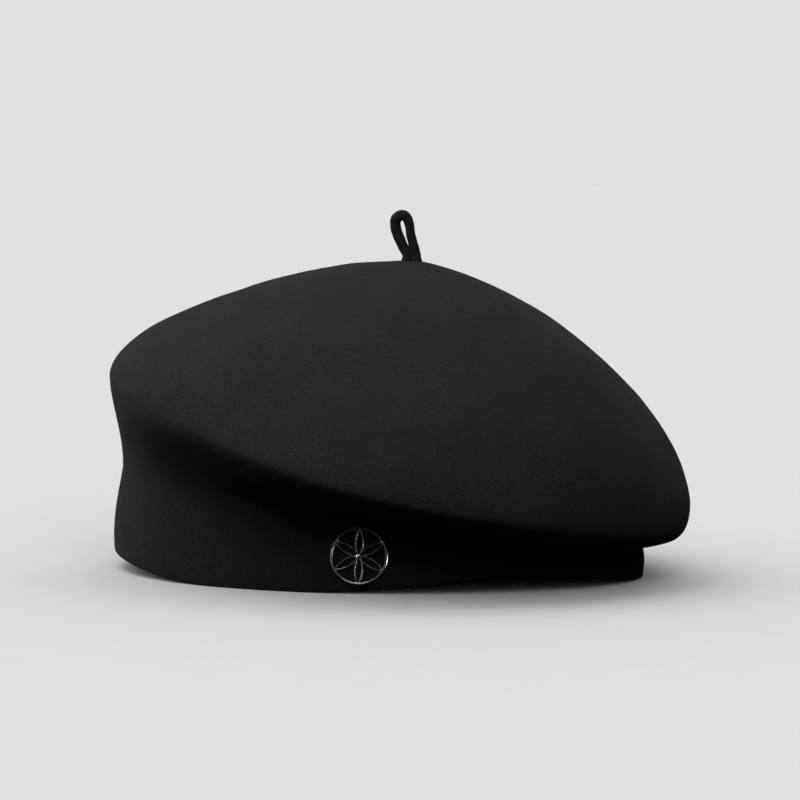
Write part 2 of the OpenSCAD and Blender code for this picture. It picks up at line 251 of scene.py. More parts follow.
def band_point(a, z):
    t = np.minimum((z - rim_z(a))/(crease_z(a) - rim_z(a)), 1)
    swell = BAND_SWELL*by_side(a, 1, 0.5, 0.7)*sin(180*t)
    offset = swell - by_side(a, 2.8, WAIST_IN, 1.2)*t*t*(3 - 2*t)
    return rim_plan(a) + offset[..., None]*rim_out(a) + up(z)


def under_point(a, t):
    out = points(cos(a), sin(a), 0*a)
    lift = by_side(a, 90, 28, -28)
    crease = band_point(a, crease_z(a))
    shoulder = crown_radius(a)[..., None]*out + up(shoulder_z(a))
    leave = cos(lift)[..., None]*out + up(sin(lift))
    return bezier([crease, crease + by_side(a, 12, 14, 12)[..., None]*leave,
                   shoulder - up(by_side(a, 12, 7.5, 13)), shoulder], t)


def dome_point(a, t):
    phi, pull = 84*t, (t**6)[..., None]
    power = by_side(a, DOME_FRONT, DOME_SIDE, DOME_REAR)
    across, rise = cos(phi)**(2/power), sin(phi)**(2/power)
    r = crown_radius(a)*across
    free = points(r*cos(a) + 1 - across, r*sin(a), mix(shoulder_z(a), CROWN_H, rise))
    hole = points(LOOP_X + HOLE_ALONG*cos(a), HOLE_ACROSS*sin(a), CROWN_H + 0*a)
    return mix(free, hole, pull)


def skin_point(a, u):
    """A point of the felt's outside: u is 0 to 1 up the band, 1 to 2 under the overhang and 2 to 3
    over the dome."""
    a, u = np.broadcast_arrays(np.asarray(a, float), np.asarray(u, float))
    band = band_point(a, mix(rim_z(a), crease_z(a), np.clip(u, 0, 1)))
    under = under_point(a, np.clip(u - 1, 0, 1))
    dome = dome_point(a, np.clip(u - 2, 0, 1))
    u = u[..., None]
    return np.where(u <= 1, band, np.where(u <= 2, under, dome))


def outward(a, u):
    e = 0.04
    rise = skin_point(a, np.minimum(u + e, 3)) - skin_point(a, np.maximum(u - e, 0))
    round_way = skin_point(a + 0.5, u) - skin_point(a - 0.5, u)
    return unit(np.cross(round_way, rise))


def below(a, u, depth):
    """A point at a depth inside the outside of the felt."""
    a, u, depth = np.broadcast_arrays(np.asarray(a, float), np.asarray(u, float),
                                      np.asarray(depth, float))
    way = outward(a, u)
    way = np.where((u == 0)[..., None], rim_out(a), way)
    way = np.where((u == 3)[..., None], up(1 + 0*a), way)
    return skin_point(a, u) - depth[..., None]*way


def ribbon_point(a, h, layer):
    """A point on the ribbon at height h over the rim, and layer mm inwards from its outer face."""
    stand_off = FELT_T + RIBBON_GAP + 1.2*ease(2, 6, h) + layer
    return band_point(a, rim_z(a) + h) - stand_off[..., None]*rim_out(a)


# ---- materials ----


class Nodes:
    """A material whose nodes are added by short calls."""

    def __init__(self, name):
        self.material = bpy.data.materials.new(name)
        self.material.use_nodes = True
        self.tree = self.material.node_tree
        self.shader = self.tree.nodes["Principled BSDF"]
        self.place = self.add("ShaderNodeTexCoord").outputs["Object"]

    def add(self, kind, **values):
        node = self.tree.nodes.new(kind)
        for key, value in values.items():
            setattr(node, key, value)
        return node

    def link(self, source, target):
        self.tree.links.new(source, target)

    def set(self, **values):
        for key, value in values.items():
            self.shader.inputs[key.replace("_", " ")].default_value = value

    def noise(self, scale, detail=2.0, roughness=0.5, place=None):
        node = self.add("ShaderNodeTexNoise")
        node.inputs["Scale"].default_value = scale
        node.inputs["Detail"].default_value = detail
        node.inputs["Roughness"].default_value = roughness
        self.link(place or self.place, node.inputs["Vector"])
        return node.outputs["Fac"]

    def stretch(self, scale):
        node = self.add("ShaderNodeMapping")
        node.inputs["Scale"].default_value = scale
        self.link(self.place, node.inputs["Vector"])
        return node.outputs["Vector"]

    def ramp(self, fac, *stops):
        node = self.add("ShaderNodeValToRGB")
        ramp = node.color_ramp
        for i, (at, colour) in enumerate(stops):
            stop = ramp.elements[i] if i < 2 else ramp.elements.new(at)
            stop.position = at
            stop.color = (*colour, 1) if len(colour) == 3 else colour
        self.link(fac, node.inputs["Fac"])
        return node.outputs["Color"]

    def mixed(self, fac, a, b, blend="MIX"):
        node = self.add("ShaderNodeMix", data_type="RGBA", blend_type=blend)
        for value, slot in ((fac, 0), (a, 6), (b, 7)):
            if isinstance(value, (float, int)):
                node.inputs[slot].default_value = value
            elif isinstance(value, tuple):
                node.inputs[slot].default_value = (*value, 1)
            else:
                self.link(value, node.inputs[slot])
        return node.outputs[2]

    def bump(self, height, distance, strength=1.0, normal=None):
        node = self.add("ShaderNodeBump")
        node.inputs["Strength"].default_value = strength
        node.inputs["Distance"].default_value = distance
        self.link(height, node.inputs["Height"])
        if normal:
            self.link(normal, node.inputs["Normal"])
        return node.outputs["Normal"]


def grey(v, warm=0.0):
    return (v*(1 + warm), v, v*(1 - warm))


def felt_material(name, dark, light, fleck):
    m = Nodes(name)
    grain = m.noise(1500, 3, 0.65)
    cloud = m.noise(38, 3, 0.5)
    colour = m.ramp(grain, (0.3, dark), (0.72, light))
    colour = m.mixed(1.0, colour, m.ramp(cloud, (0.25, grey(0.82)), (0.75, grey(1.16))), "MULTIPLY")
    spots = m.ramp(m.noise(2600, 1, 0.4), (0.70, grey(0)), (0.78, grey(1)))
    colour = m.mixed(spots, colour, fleck)
    m.link(colour, m.shader.inputs["Base Color"])
    m.set(Roughness=0.93, Specular_IOR_Level=0.22, Sheen_Weight=0.07, Sheen_Roughness=0.45,
          Sheen_Tint=(0.80, 0.84, 0.80, 1))
    fibres = m.bump(m.noise(1900, 4, 0.7), 0.0005, 0.55)
    m.link(m.bump(m.noise(330, 3, 0.6), 0.0006, 0.35, fibres), m.shader.inputs["Normal"])
    return m.material


def ribbon_material():
    m = Nodes("ribbon")
    yarn = m.noise(2400, 2, 0.6)
    m.link(m.ramp(yarn, (0.3, grey(0.010)), (0.75, grey(0.030))), m.shader.inputs["Base Color"])
    m.set(Roughness=0.62, Sheen_Weight=0.2, Sheen_Roughness=0.4)
    m.link(m.bump(yarn, 0.0002, 0.4), m.shader.inputs["Normal"])
    return m.material


def thread_material():
    m = Nodes("thread")
    hair = m.noise(5200, 2, 0.6)
    m.link(m.ramp(hair, (0.3, grey(0.016)), (0.75, grey(0.05))), m.shader.inputs["Base Color"])
    m.set(Roughness=0.55, Sheen_Weight=0.25)
    m.link(m.bump(hair, 0.0001, 0.4), m.shader.inputs["Normal"])
    return m.material


def label_material():
    m = Nodes("label_satin")
    weft = m.noise(1400, 2, 0.5, m.stretch((0.35, 1.0, 3.0)))
    colour = m.ramp(weft, (0.3, grey(0.55, 0.05)), (0.7, grey(0.76, 0.045)))
    m.link(colour, m.shader.inputs["Base Color"])
    m.set(Roughness=0.42, Sheen_Weight=0.25)
    m.link(m.bump(weft, 0.00012, 0.5), m.shader.inputs["Normal"])
    return m.material


def metal_material():
    m = Nodes("gunmetal")
    worn = m.noise(900, 3, 0.6)
    colour = m.ramp(worn, (0.3, grey(0.26, -0.01)), (0.7, grey(0.36, -0.01)))
    m.link(colour, m.shader.inputs["Base Color"])
    rough_value = m.ramp(m.noise(2600, 2, 0.6), (0.3, grey(0.16)), (0.7, grey(0.30)))
    m.link(rough_value, m.shader.inputs["Roughness"])
    m.set(Metallic=1.0)
    m.link(m.bump(m.noise(3400, 2, 0.6), 0.00004, 0.5), m.shader.inputs["Normal"])
    return m.material


FELT = felt_material("felt", grey(0.005), grey(0.018), grey(0.06))
PATCH_FELT = felt_material("patch_felt", grey(0.005), grey(0.018), grey(0.05))
RIBBON = ribbon_material()
THREAD = thread_material()
LABEL = label_material()
METAL = metal_material()

# ---- felt body ----

ROUND_STEPS = 480
CUT_R = 0.7                     # the cut rim is slightly rounded


def waviness(p, u):
    """How far the soft felt stands off its block's even shape, in mm."""
    steady = ease(0.0, 0.5, u)*(1 - ease(2.8, 2.97, u))
    return steady*(0.55*rough(p, 44, 3) + 0.16*rough(p, 13, 8)) + 0.035*rough(p, 3.2, 5)


def felt_rows():
    band = np.linspace(0, 1, 26)[1:]
    under = np.linspace(1, 2, 42)[1:]
    # closer together towards the top
    turn = np.linspace(0, np.pi/2, 100)[1:]*0.94
    dome = 2 + np.sin(turn)/math.sin(turn[-1])
    return np.concatenate([band, under, np.minimum(dome, 3)])


def make_felt():
    a = np.arange(ROUND_STEPS) * 360/ROUND_STEPS
    us = felt_rows()
    outer = np.array([skin_point(a, u) for u in us])
    inner = np.array([below(a, u, FELT_T) for u in us])
    lift = waviness(outer, us[:, None])[..., None]*np.array([outward(a, u) for u in us])
    outer += lift
    inner += lift
    rim = rim_point_rows(a)
    grid = np.concatenate([rim, outer, inner[::-1]])
    Shell().grid(grid, wrap_rows=True, wrap_cols=True).make(
        "felt_crown", FELT, slot="felt", replaces=["felt_body"])


def rim_point_rows(a):
    """The cut edge, from its inner to its outer corner."""
    foot, out = rim_plan(a) + up(rim_z(a)), rim_out(a)
    rows = []
    for turn in np.linspace(0, 90, 5):
        rows.append((-FELT_T + CUT_R - CUT_R*cos(turn), CUT_R - CUT_R*sin(turn)))
    for turn in np.linspace(0, 90, 5):
        rows.append((-CUT_R + CUT_R*sin(turn), CUT_R - CUT_R*cos(turn)))
    return np.array([foot + x*out + up(z + 0*a) for x, z in rows])


make_felt()

# ---- hanging loop: one rolled strip of felt, through the hole and sewn flat inside ----

FOOT_GAP = CORD_D + 0.05
FOOT_Z = CROWN_H + CORD_D/2 + 0.3
LEFT_FOOT, RIGHT_FOOT = LOOP_X - FOOT_GAP/2, LOOP_X + FOOT_GAP/2
LOOP_LEFT, LOOP_RIGHT = LOOP_X - 6.5, LOOP_X - 0.7
PATCH_T, TAIL_LEN, TAIL_DROP, TAIL_BEND = 1.4, 11, 3.2, 3
TAIL_Z = CROWN_H - FELT_T - PATCH_T - CORD_D/2 - 1.1


def loop_path():
    """The middle line of the loop above its feet, from the front foot over to the rear one."""
    h = LOOP_H
    curves = [
        [(LEFT_FOOT, 0), (LEFT_FOOT - 0.9, 0.17*h), (LOOP_LEFT, 0.52*h), (LOOP_LEFT, 0.82*h)],
        [(LOOP_LEFT, 0.82*h), (LOOP_LEFT, 0.92*h), (LOOP_LEFT + 1.1, h), (LOOP_LEFT + 2.6, h)],
        [(LOOP_LEFT + 2.6, h), (LOOP_LEFT + 4.3, h), (LOOP_RIGHT - 0.5, 0.88*h),
         (LOOP_RIGHT, 0.62*h)],
        [(LOOP_RIGHT, 0.62*h), (LOOP_RIGHT + 0.4, 0.42*h), (RIGHT_FOOT - 0.7, 0.21*h),
         (RIGHT_FOOT, 0)]]
    line = np.concatenate([bezier(np.array(c, float), np.linspace(0, 1, 24)[:-1]) for c in curves]
                          + [np.array([[RIGHT_FOOT, 0.0]])])
    return points(line[:, 0], 0, FOOT_Z + line[:, 1])


def tail_path(foot, side):
    bend = np.linspace(0, 90, 9)
    down = points(foot + side*TAIL_BEND*(1 - cos(bend)), 0, TAIL_Z + TAIL_BEND*(1 - sin(bend)))
    end = points(foot + side*(TAIL_BEND + np.linspace(0, TAIL_LEN, 8)[1:]), 0,
                 TAIL_Z - TAIL_DROP*np.linspace(0, 1, 8)[1:])
    neck = points(foot, 0, np.linspace(FOOT_Z - 0.4, TAIL_Z + TAIL_BEND + 0.6, 8))
    return np.concatenate([neck, down, end])


STEM_SIDES = 28
STEM_LEAN = 0.9                 # how far the loop's front leg bows away from the camera


def make_stem():
    loop = loop_path()
    front, rear = tail_path(LEFT_FOOT, -1), tail_path(RIGHT_FOOT, 1)
    path = np.concatenate([front[::-1], loop, rear])
    t = np.linspace(0, 1, len(loop))
    thick = np.interp(t, [0, 0.12, 0.3, 0.5, 0.7, 0.85, 1],
                      [1.92, 2.02, 2.1, 2.12, 2.02, 2.0, 1.95])
    # the felt swells where it comes out of the crown
    neck = np.interp(front[:, 2], [CROWN_H - 0.8, CROWN_H - 0.1, FOOT_Z - 0.4], [1.62, 2.5, 1.95])
    radii = np.concatenate([neck[::-1], thick, neck])
    tail = ease(0, 6, np.abs(path[:, 0] - LOOP_X) - FOOT_GAP/2 - 1)*(path[:, 2] < FOOT_Z - 3)
    radii[[0, -1]] *= 0.8
    path[:, 1] += np.concatenate([0*front[:, 0], STEM_LEAN*np.sin(np.pi*np.clip(t/0.4, 0, 1)),
                                  0*rear[:, 0]])
    work = Shell()
    work.tube(path, radii*(1 - 0.12*tail), sides=STEM_SIDES, side_way=np.array([0, 1.0, 0]),
              ply=0.10, twist=0.10)
    p = work.parts[0]
    centre = np.repeat(path[None], STEM_SIDES, axis=0).reshape(-1, 3)
    p += unit(p - centre)*(0.11*rough(p, 2.6, 2) + 0.05*rough(p, 0.9, 6))[:, None]
    stem = work.make("stem", FELT, body=None, slot="felt", replaces=["stem_loop", "stem_tails"])
    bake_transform(stem)


make_stem()

# ---- patch that holds the loop's tails inside the crown ----

THREAD_R = 0.23
PATCH_EDGE, PATCH_SEAM = 2.862, 2.888     # where its edge and its stitches lie on the dome
PINKED_TEETH, PATCH_STITCHES = 46, 34


def thread(work, path):
    """Two-ply sewing thread along a path."""
    return work.tube(path, THREAD_R, sides=10, ply=0.32, twist=3.2)


def make_patch():
    a = np.arange(360)*1.0
    teeth = 0.012*np.abs((a*PINKED_TEETH/360) % 1*2 - 1)
    rows = []
    for depth, ss in ((FELT_T + GAP, np.linspace(0, 1, 12)),
                      (FELT_T + GAP + PATCH_T, np.linspace(1, 0, 12))):
        for s in ss:
            rows.append(below(a, np.where(s == 1, 3.0, mix(PATCH_EDGE + teeth, 3, s)), depth))
    grid = np.array(rows)
    grid[12:] -= up(0.10*rough(grid[12:], 2.4, 4))
    Shell().grid(grid, wrap_rows=True, wrap_cols=True).make(
        "stem_patch_disc", PATCH_FELT, slot="felt", replaces=["stem_patch"])


def make_stem_stitches():
    work = Shell()
    depth = FELT_T + GAP + PATCH_T
    for i in range(PATCH_STITCHES):
        a = 360*i/PATCH_STITCHES + np.linspace(-3.1, 3.1, 9)
        sunk = depth - 0.3 + 0.5*np.sin(np.linspace(0, np.pi, 9))
        thread(work, below(a, PATCH_SEAM, sunk))
    r = CORD_D/2 + 0.12
    for side in (-1, 1):
        for along in (2.5, 5.5, 8.5):
            x = LOOP_X + side*(FOOT_GAP/2 + TAIL_BEND + along)
            middle = TAIL_Z - TAIL_DROP*along/TAIL_LEN
            turn = np.linspace(-25, 205, 15)
            thread(work, points(x + 0.5*cos(turn), r*cos(turn), middle - r*sin(turn)))
    work.make("stem_patch_stitches", THREAD, slot="thread", replaces=["stem_stitches"])


make_patch()
make_stem_stitches()

# ---- sweatband: a grosgrain ribbon sewn in along its lower edge ----

RIBBON_H, RIBBON_T, RIBBON_FOOT = 25, 0.8, 1.0
LAP, LAP_EXTRA = 7.5, RIBBON_T + 0.15
SEAM_Z, STITCH_LEN, STITCHES = 1.8, 3.2, 86
RIB_PITCH, RIB_DEPTH, RIBS = 1.0, 0.10, 560


def over(a):
    """How far the ribbon's last stretch stands over its first."""
    return LAP_EXTRA*ease(360 - 3*LAP, 360 - LAP, a)


def rounded_edge(d, r=0.35):
    """The share of a ribbon's thickness at a distance d from its edge."""
    return np.sqrt(np.clip(1 - np.clip(1 - d/r, 0, 1)**2, 0.02, 1))


def make_sweatband():
    steps_a_rib = 5
    a = np.linspace(-LAP, 360 + LAP, int(RIBS*(1 + 2*LAP/360)*steps_a_rib) + 1)
    rib = RIB_DEPTH*np.abs(np.cos(np.pi*a*RIBS/360))
    edge = np.array([0, 0.08, 0.2, 0.4])
    heights = np.concatenate([RIBBON_FOOT + edge, np.linspace(RIBBON_FOOT + 1, RIBBON_H - 1, 17),
                              RIBBON_H - edge[::-1]])
    rows = []
    for face, hs in ((-1, heights), (1, heights[::-1])):
        for h in hs:
            half = (RIBBON_T/2 - RIB_DEPTH + rib)*rounded_edge(min(h - RIBBON_FOOT, RIBBON_H - h))
            rows.append(ribbon_point(a, h, over(a) + RIBBON_T/2 + face*half))
    grid = np.array(rows)
    top = ease(4, RIBBON_H, np.concatenate([heights, heights[::-1]]))[:, None]
    sway = 0.28*np.sin(np.radians(a*9 + 40))*np.sin(np.radians(a*4))
    grid += (top*sway)[..., None]*rim_out(a)
    band = Shell().grid(grid, wrap_rows=True, caps=True).make(
        "sweatband_ribbon", RIBBON, slot="ribbon", replaces=["sweatband"])
    length = np.linalg.norm(np.diff(ribbon_point(a, 12, over(a)), axis=0), axis=1).sum()


def make_sweatband_stitches():
    work = Shell()
    for i in range(STITCHES):
        middle = 360*(i + 0.5)/STITCHES
        r = np.linalg.norm(rim_plan(np.array(middle)))
        a = middle + np.degrees(np.linspace(-0.5, 0.5, 11)*STITCH_LEN/r)
        lift = RIBBON_T - 0.35 + 0.62*np.sin(np.linspace(0, np.pi, 11))**0.7
        on_top = over(middle if middle > 180 else middle + 360)
        thread(work, ribbon_point(a, SEAM_Z + 0.12*math.sin(7*i), lift + on_top))
    work.make("sweatband_thread", THREAD, slot="thread", replaces=["sweatband_stitches"])


make_sweatband()
make_sweatband_stitches()


class Spot:
    """A place on the inner face of the sweatband: X out of the hat, Y along the band, Z up from
    the rest plane."""

    def __init__(self, a, h, clear, bend=0):
        a = np.array(float(a))
        foot = ribbon_point(a, h, RIBBON_T + clear)
        self.out = rim_out(a)
        if bend:
            self.out = np.array([self.out[0]*cos(bend) - self.out[1]*sin(bend),
                                 self.out[0]*sin(bend) + self.out[1]*cos(bend), 0])
        self.along = np.array([-self.out[1], self.out[0], 0])
        self.foot = np.array([foot[0], foot[1], rim_z(a)])

    def __call__(self, x, y, z):
        p = points(x, y, z)
        return (self.foot + p[..., :1]*self.out + p[..., 1:2]*self.along
                + p[..., 2:]*np.array([0, 0, 1.0]))

    def way(self, x, y, z):
        return self(x, y, z) - self.foot


# ---- flat bow over the join of the sweatband ----

BOW_H, BOW_W, BOW_REACH, BOW_T, BOW_BEND = 13, 9, 17, 3.4, 8
TAIL_T, WRAP_W, WRAP_T = 0.6, 5.2, 0.6
BOW_CLEAR = LAP_EXTRA + 0.5


def strip(middle, across, half, thick, slant=0.0, rib_depth=0.07, slices=9):
    """A ribbed strip of ribbon: its middle line, the way across it, half its width along the way
    and its thickness. slant moves its two edges forwards and back."""
    along = unit(np.gradient(middle, axis=0))
    face = unit(np.cross(along, across))
    length = np.concatenate([[0], np.cumsum(np.linalg.norm(np.diff(middle, axis=0), axis=1))])
    rib = rib_depth*np.abs(np.cos(np.pi*length/RIB_PITCH))
    half = np.broadcast_to(np.asarray(half, float), (len(middle),))
    slant = np.broadcast_to(np.asarray(slant, float), (len(middle),))
    vs = np.sin(np.linspace(-np.pi/2, np.pi/2, slices))
    rows = []
    for sign, order in ((1, vs), (-1, vs[::-1])):
        for v in order:
            edge = rounded_edge((1 - abs(v))*BOW_W/2, 0.25)
            rows.append(middle + (v*half)[:, None]*across + (v*slant)[:, None]*along
                        + (sign*(thick/2 - rib_depth + rib)*edge)[:, None]*face)
    return np.array(rows)


def dense(path, step=0.2):
    """The path again, with points about step apart."""
    path = np.asarray(path, float)
    at = np.concatenate([[0], np.cumsum(np.linalg.norm(np.diff(path, axis=0), axis=1))])
    new = np.linspace(0, at[-1], int(at[-1]/step) + 1)
    return np.stack([np.interp(new, at, path[:, k]) for k in range(3)], axis=1)


def bow_loop(side):
    place = Spot(0, BOW_H + BOW_W/2, BOW_CLEAR, side*BOW_BEND)
    middle_x = -TAIL_T - 0.2 - BOW_T/2
    tip = BOW_REACH - BOW_T/2
    back = bezier(np.array([(middle_x + 0.35, 1.0), (middle_x + 1.6, 4), (middle_x + 1.35, 9),
                            (middle_x + 1.35, tip)]), np.linspace(0, 1, 40))
    turn = np.linspace(0, 180, 24)[1:]
    end = np.stack([middle_x + 1.35*cos(turn), tip + 1.35*sin(turn)], axis=1)
    front = bezier(np.array([(middle_x - 1.35, tip), (middle_x - 1.6, 9), (middle_x - 2.3, 5),
                             (middle_x - 0.35, 1.0)]), np.linspace(0, 1, 40))[1:]
    line = np.concatenate([back, end, front])
    path = dense(place(line[:, 0], side*line[:, 1], BOW_H))
    near = np.linalg.norm(path - place(middle_x, 0, BOW_H), axis=1)
    half = BOW_W/2*mix(0.82, 1, ease(1, 7, near))
    across = np.broadcast_to(np.array([0, 0, 1.0]), path.shape)
    return strip(path, across, half, 0.6)


def bow_tail(side):
    place = Spot(0, BOW_H + BOW_W/2, BOW_CLEAR, side*BOW_BEND)
    t = np.linspace(0, 1, 60)
    y, z = side*(0.4 + 16.6*t), BOW_H - 0.5 - 7.9*t
    path = dense(place(-TAIL_T/2 - 0.15*np.sin(t*np.pi), y, z))
    across = np.broadcast_to(unit(place.way(0.0, side*7.9, 16.6)), path.shape)
    at = np.linspace(0, 1, len(path))
    return strip(path, across, 3.5*mix(0.6, 1, ease(0, 0.4, at)), 0.5, slant=-1.8*ease(0.5, 1, at))


def make_bow():
    for side, word in ((-1, "left"), (1, "right")):
        Shell().grid(bow_loop(side), wrap_rows=True, caps=True).make(
            "bow_loop_" + word, RIBBON, slot="ribbon", replaces=["bow_loops"])
        Shell().grid(bow_tail(side), wrap_rows=True, caps=True).make(
            "bow_tail_" + word, RIBBON, slot="ribbon")
    place = Spot(0, BOW_H + BOW_W/2, BOW_CLEAR)
    turn = np.linspace(-90, 90, 70)
    x = -TAIL_T - 0.15 - 3.75*cos(turn)**0.5
    z = BOW_H + (BOW_W/2 + 0.55)*np.sign(sin(turn))*np.abs(sin(turn))**0.6
    path = dense(place(x, 0, z))
    across = np.broadcast_to(place.way(0, 1, 0), path.shape)
    Shell().grid(strip(path, across, WRAP_W/2, WRAP_T), wrap_rows=True, caps=True).make(
        "bow_knot", RIBBON, slot="ribbon", replaces=["bow_wrap"])
    work = Shell()
    for side in (-1, 1):
        place = Spot(0, BOW_H + BOW_W/2, BOW_CLEAR, side*BOW_BEND)
        for level in (-3, 3):
            t = np.linspace(0, 1, 9)
            x = -TAIL_T - BOW_T/2 - 1.52 - 0.32*np.sin(np.pi*t)
            thread(work, place(x, side*(BOW_REACH - 3.2 - 2.4*t), BOW_H + level))
    work.make("bow_thread", THREAD, slot="thread", replaces=["bow_stitches"])


make_bow()

# ---- badge: an open ring round six petals ----

BADGE_D, BADGE_X, BADGE_Z = 21.5, 14.6, 14
BADGE_LINE, PETAL_LINE, BADGE_T, BADGE_GAP = 0.9, 0.56, 0.9, 0.25
BADGE_A = 270 - math.degrees(math.atan2(BADGE_X, RIM_SIDE))
PRONG_DEPTH = 3.7


class BadgePlace:
    """The badge's plane: X across it, Y up it and Z out of the felt."""

    def __init__(self):
        a = np.array(BADGE_A)
        self.foot = band_point(a, BADGE_Z)
        self.up = unit(band_point(a, BADGE_Z + 1) - band_point(a, BADGE_Z - 1))
        along = rim_plan(a + 0.5) + up(rim_z(a + 0.5)) - rim_plan(a - 0.5) - up(rim_z(a - 0.5))
        self.out = unit(np.cross(along, self.up))
        self.right = np.cross(self.up, self.out)

    def __call__(self, x, y, z):
        p = points(x, y, z)
        return self.foot + p[..., :1]*self.right + p[..., 1:2]*self.up + p[..., 2:]*self.out


def bar(work, place, centre, r, start, end, width, low, high, closed=False):
    """A bevelled bar along an arc in the badge's plane."""
    n = max(12, int(abs(end - start)/2.5))
    turn = np.linspace(start, end, n, endpoint=not closed)
    w, b = width/2, 0.34*width/2
    section = [(-w, low), (w, low), (w, high - 1.6*b), (w - b, high - 0.35*b), (0.25*w, high),
               (-0.25*w, high), (-w + b, high - 0.35*b), (-w, high - 1.6*b)]
    rows = [place(centre[0] + (r + s)*cos(turn), centre[1] + (r + s)*sin(turn), h)
            for s, h in section]
    work.grid(np.array(rows), wrap_rows=True, wrap_cols=closed, caps=not closed)


def lathe(work, place, centre, outline, n=40):
    """A turned solid that stands on the badge's plane; outline is (radius, height) points."""
    turn = np.linspace(0, 360, n, endpoint=False)
    rows = [place(centre[0] + max(r, 0.001)*cos(turn), centre[1] + max(r, 0.001)*sin(turn), h)
            for r, h in outline]
    work.grid(np.array(rows), wrap_cols=True)
    for k, flip in ((0, True), (len(rows) - 1, False)):
        start = work.count - len(rows)*n + k*n
        loop = list(range(start, start + n))
        work.faces.append(loop[::-1] if flip else loop)


def make_badge():
    place = BadgePlace()
    r = BADGE_D/2 - BADGE_LINE/2
    low, high = BADGE_GAP, BADGE_GAP + BADGE_T
    ring = Shell()
    bar(ring, place, (0, 0), r, 0, 360, BADGE_LINE, low, high, closed=True)
    ring.make("badge_ring", METAL, slot="badge_metal", replaces=["badge"], smooth=False)
    petals = Shell()
    for i in range(6):
        way = 60*i + 30
        bar(petals, place, (r*cos(way), r*sin(way)), r, way + 120, way + 240, PETAL_LINE,
            low + 0.08, high - 0.1)
    lathe(petals, place, (0, 0), [(0, low), (1.15, low), (1.2, 0.8), (1.0, 1.1), (0.55, 1.3),
                                  (0, 1.36)])
    petals.make("badge_petals", METAL, slot="badge_metal", smooth=False)
    prongs, washers = Shell(), Shell()
    for side in (-1, 1):
        at = (side*r, 0)
        lathe(prongs, place, at, [(0, 0.6), (0.4, 0.6), (0.4, -PRONG_DEPTH + 0.3),
                                  (0.66, -PRONG_DEPTH), (0.6, -PRONG_DEPTH - 0.16),
                                  (0, -PRONG_DEPTH - 0.2)], 24)
        turn = np.linspace(0, 360, 60, endpoint=False)
        disc = [(0.5, 0.02), (0.62, -0.06), (2.8, -0.06), (2.96, 0.04), (3.0, 0.16), (2.9, 0.27),
                (2.75, 0.3), (0.62, 0.3), (0.5, 0.22)]
        washers.grid(np.array([place(at[0] + rr*cos(turn), rr*sin(turn), h - PRONG_DEPTH)
                               for rr, h in disc]), wrap_rows=True, wrap_cols=True)
    prongs.make("badge_prongs", METAL, slot="badge_metal", smooth=False)
    washers.make("badge_washer_pair", METAL, slot="badge_metal", replaces=["badge_washers"],
                 smooth=False)


make_badge()

# ---- labels, all left blank ----

LABEL_T = 0.4
MAKER_US, MAKER_HALF, MAKER_GAP = (2.58, 2.78), 17, 0.7
SIZE_A, SIZE_W, SIZE_H = 26, 11, 7
CARE_A, CARE_W, CARE_H, CARE_T, CARE_CLEAR = -27, 16, 18, 0.9, 0.9
CARE_HINGE_H = RIBBON_H - 1.5


def maker_point(across, u, depth):
    r = skin_point(np.array(0.0), u)[..., 0]
    return below(np.degrees(np.arctan(across*MAKER_HALF/r)), u, depth)


def make_maker_label():
    across = np.linspace(-1, 1, 90)
    us = np.linspace(*MAKER_US, 46)
    hem = 0.22*(1 - ease(0.86, 0.9, np.abs(across)))
    mm_each_u = 110                 # roughly, so near the label
    rows = []
    for deep, order in ((0, us), (1, us[::-1])):
        for u in order:
            edge = rounded_edge(min(u - MAKER_US[0], MAKER_US[1] - u)*mm_each_u, 0.25)
            thick = (LABEL_T - hem*deep)*mix(0.4, 1, edge)
            rows.append(maker_point(across, u, FELT_T + MAKER_GAP + deep*thick))
    label = Shell().grid(np.array(rows), wrap_rows=True, caps=True).make(
        "maker_label_satin", LABEL, slot="label", replaces=["maker_label"])
    middle = np.array(0.0)
    tall = np.linalg.norm(maker_point(middle, us[-1], 3.0) - maker_point(middle, us[0], 3.0))
    work = Shell()
    depth = FELT_T + MAKER_GAP + LABEL_T
    for u in (MAKER_US[0] + 0.012, MAKER_US[1] - 0.012):
        for i in range(-4, 5):
            t = np.linspace(-1, 1, 9)
            thread(work, maker_point(0.21*i + 0.07*t, u, depth - 0.28 + 0.3*cos(90*t)))
    work.make("maker_label_thread", THREAD, slot="thread", replaces=["maker_label_stitches"])


def make_size_patch():
    place = Spot(SIZE_A, SIZE_H + SIZE_W, 0.5)
    y = np.linspace(-1, 1, 40)*SIZE_W/2
    rows = []
    for deep, order in ((0, 1), (1, -1)):
        for z in (np.linspace(-1, 1, 30)*SIZE_W/2)[::order]:
            edge = mix(0.4, 1, rounded_edge(np.minimum(SIZE_W/2 - np.abs(y), SIZE_W/2 - abs(z)), 0.25))
            pillow = 0.16*cos(90*y/(SIZE_W/2))*cos(90*z/(SIZE_W/2))
            rows.append(place(-deep*LABEL_T*edge - pillow, y, SIZE_H + SIZE_W/2 + z))
    patch = Shell().grid(np.array(rows), wrap_rows=True, caps=True).make(
        "size_patch_satin", LABEL, slot="label", replaces=["size_patch"])
    work = Shell()
    inset = SIZE_W/2 - 0.8
    t = np.linspace(0, 1, 9)
    x = -LABEL_T + 0.15 - 0.35*np.sin(np.pi*t)
    for edge in (-1, 1):
        for i in (-1, 0, 1):
            run = 3*i - 1 + 2*t
            thread(work, place(x, edge*inset, SIZE_H + SIZE_W/2 + run))
            thread(work, place(x, run, SIZE_H + SIZE_W/2 + edge*inset))
    work.make("size_patch_thread", THREAD, slot="thread", replaces=["size_patch_stitches"])


